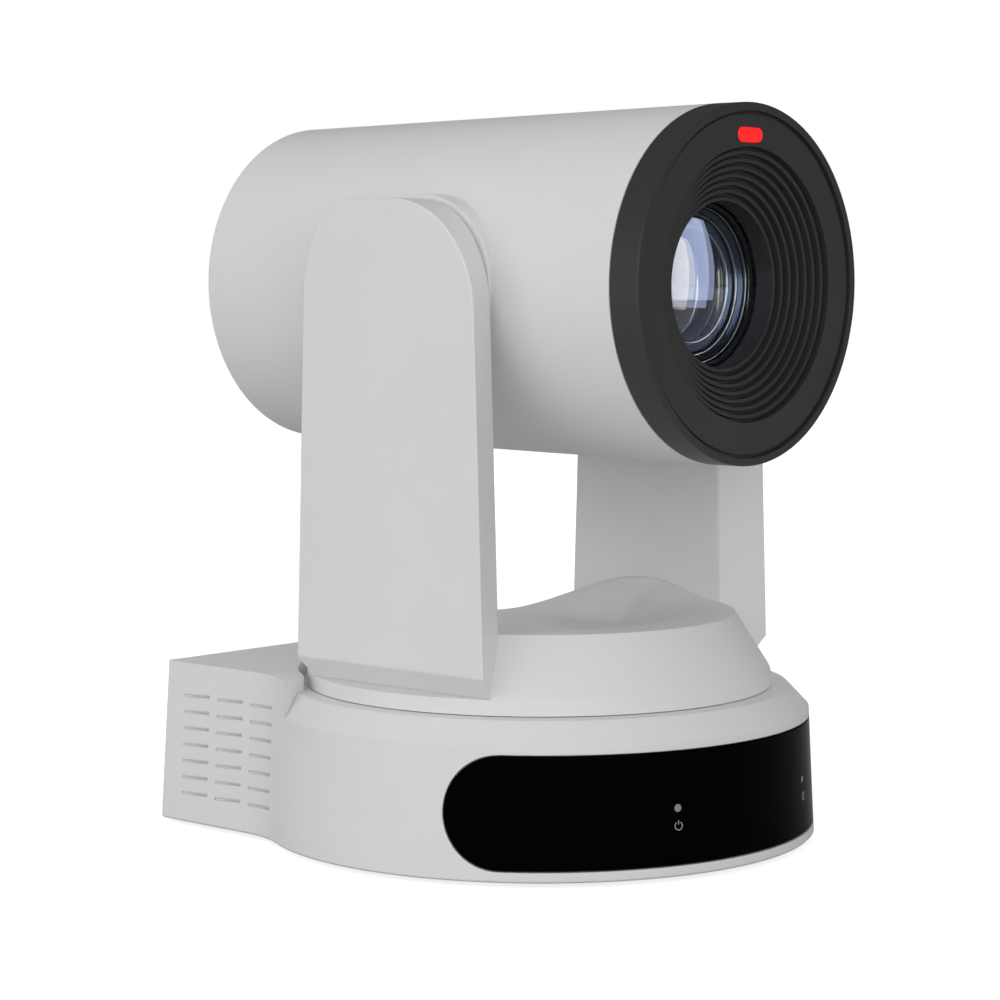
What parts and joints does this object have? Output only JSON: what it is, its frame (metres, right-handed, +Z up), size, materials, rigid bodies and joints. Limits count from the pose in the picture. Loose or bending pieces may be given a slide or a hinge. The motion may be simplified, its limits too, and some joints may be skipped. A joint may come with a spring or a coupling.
{
  "type": "pan tilt zoom camera",
  "caption": "Desk pan-tilt-zoom video camera: drum head with a stepped lens bezel between two arms on a turntable, over a round base with a vented rear connector box.",
  "frame": {"origin": "middle of the bounding box at the level of the rubber feet", "axes": "+Z up along the pan axis, the lens looks along -Y at rest, +X to the camera's own left"},
  "size_m": [0.142, 0.1596, 0.1844],
  "materials": {
    "pale_plastic": "satin",
    "black_window": "gloss",
    "black_bezel": "matte",
    "light_pipe": "satin",
    "tally_red": "gloss",
    "lens_glass": "coated",
    "zinc_sheet": "zinc plated",
    "nickel_steel": "nickel plated",
    "brass": "machined",
    "black_rubber": "matte",
    "black_plastic": "satin",
    "white_nylon": "satin",
    "circuit_board": "satin",
    "dark_panel": "powder coat"
  },
  "bodies": {
    "base": {"base_housing": "pale_plastic", "base_plate": "zinc_sheet", "front_window": "black_window", "indicator_board": "circuit_board", "standby_light": "light_pipe", "power_light": "light_pipe", "main_board": "circuit_board", "rear_panel": "dark_panel", "lan_jack": "nickel_steel", "hdmi_port": "nickel_steel", "sdi_connector": "nickel_steel", "usb_port": "nickel_steel", "audio_jack": "black_plastic", "power_jack": "black_plastic", "serial_port": "black_plastic", "tripod_bush": "brass", "foot_front_left": "black_rubber", "foot_front_right": "black_rubber", "foot_rear_left": "black_rubber", "foot_rear_right": "black_rubber", "base_screw_front_left": "nickel_steel", "base_screw_front_right": "nickel_steel", "base_screw_rear_left": "nickel_steel", "base_screw_rear_right": "nickel_steel", "pan_motor": "nickel_steel", "pan_bearing": "nickel_steel", "pan_belt": "black_rubber"},
    "motor_pulley": {"pan_motor_pulley": "brass"},
    "turntable": {"turntable_cover": "pale_plastic", "pan_shaft": "nickel_steel", "pan_pulley": "black_plastic", "pan_plate": "zinc_sheet", "left_yoke": "zinc_sheet", "right_yoke": "zinc_sheet", "left_arm_cover": "pale_plastic", "right_arm_cover": "pale_plastic", "left_arm_plate": "pale_plastic", "right_arm_plate": "pale_plastic", "left_tilt_shaft": "nickel_steel", "right_tilt_shaft": "nickel_steel", "tilt_gear": "white_nylon"},
    "head": {"head_shell": "pale_plastic", "rear_cap": "pale_plastic", "left_tilt_bush": "white_nylon", "right_tilt_bush": "white_nylon", "left_side_plate": "zinc_sheet", "right_side_plate": "zinc_sheet", "front_bezel": "black_bezel", "tally_light": "tally_red", "lens_barrel": "black_plastic", "front_lens": "lens_glass", "upper_guide_rod": "nickel_steel", "lower_guide_rod": "nickel_steel", "sensor_housing": "black_plastic", "sensor_board": "circuit_board", "tilt_motor": "nickel_steel"},
    "pinion": {"tilt_pinion": "brass"},
    "zoom": {"zoom_group": "lens_glass"},
    "focus": {"focus_group": "lens_glass"}
  },
  "joints": [
    {"name": "pan", "type": "hinge", "parent": "base", "child": "turntable", "pos_m": [0, -0.0088, 0.0387], "axis": [0, 0, 1], "range_deg": [-170, 170]},
    {"name": "tilt", "type": "hinge", "parent": "turntable", "child": "head", "pos_m": [0, -0.0088, 0.1409], "axis": [-1, 0, 0], "range_deg": [-30, 90]},
    {"name": "pan_pulley_turn", "type": "hinge", "parent": "base", "child": "motor_pulley", "pos_m": [-0.03, -0.0398, 0.0202], "axis": [0, 0, 1], "range_deg": [-850, 850]},
    {"name": "tilt_pinion_turn", "type": "hinge", "parent": "head", "child": "pinion", "pos_m": [0.0334, 0.0112, 0.1409], "axis": [-1, 0, 0], "range_deg": [-120, 360]},
    {"name": "zoom", "type": "slide", "parent": "head", "child": "zoom", "axis": [0, -1, 0], "range_m": [0, 0.018]},
    {"name": "focus", "type": "slide", "parent": "head", "child": "focus", "axis": [0, -1, 0], "range_m": [0, 0.01]}
  ],
  "couplings": [
    {"joint": "pan_pulley_turn", "follows": "pan", "ratio": 5},
    {"joint": "tilt_pinion_turn", "follows": "tilt", "ratio": 4}
  ]
}
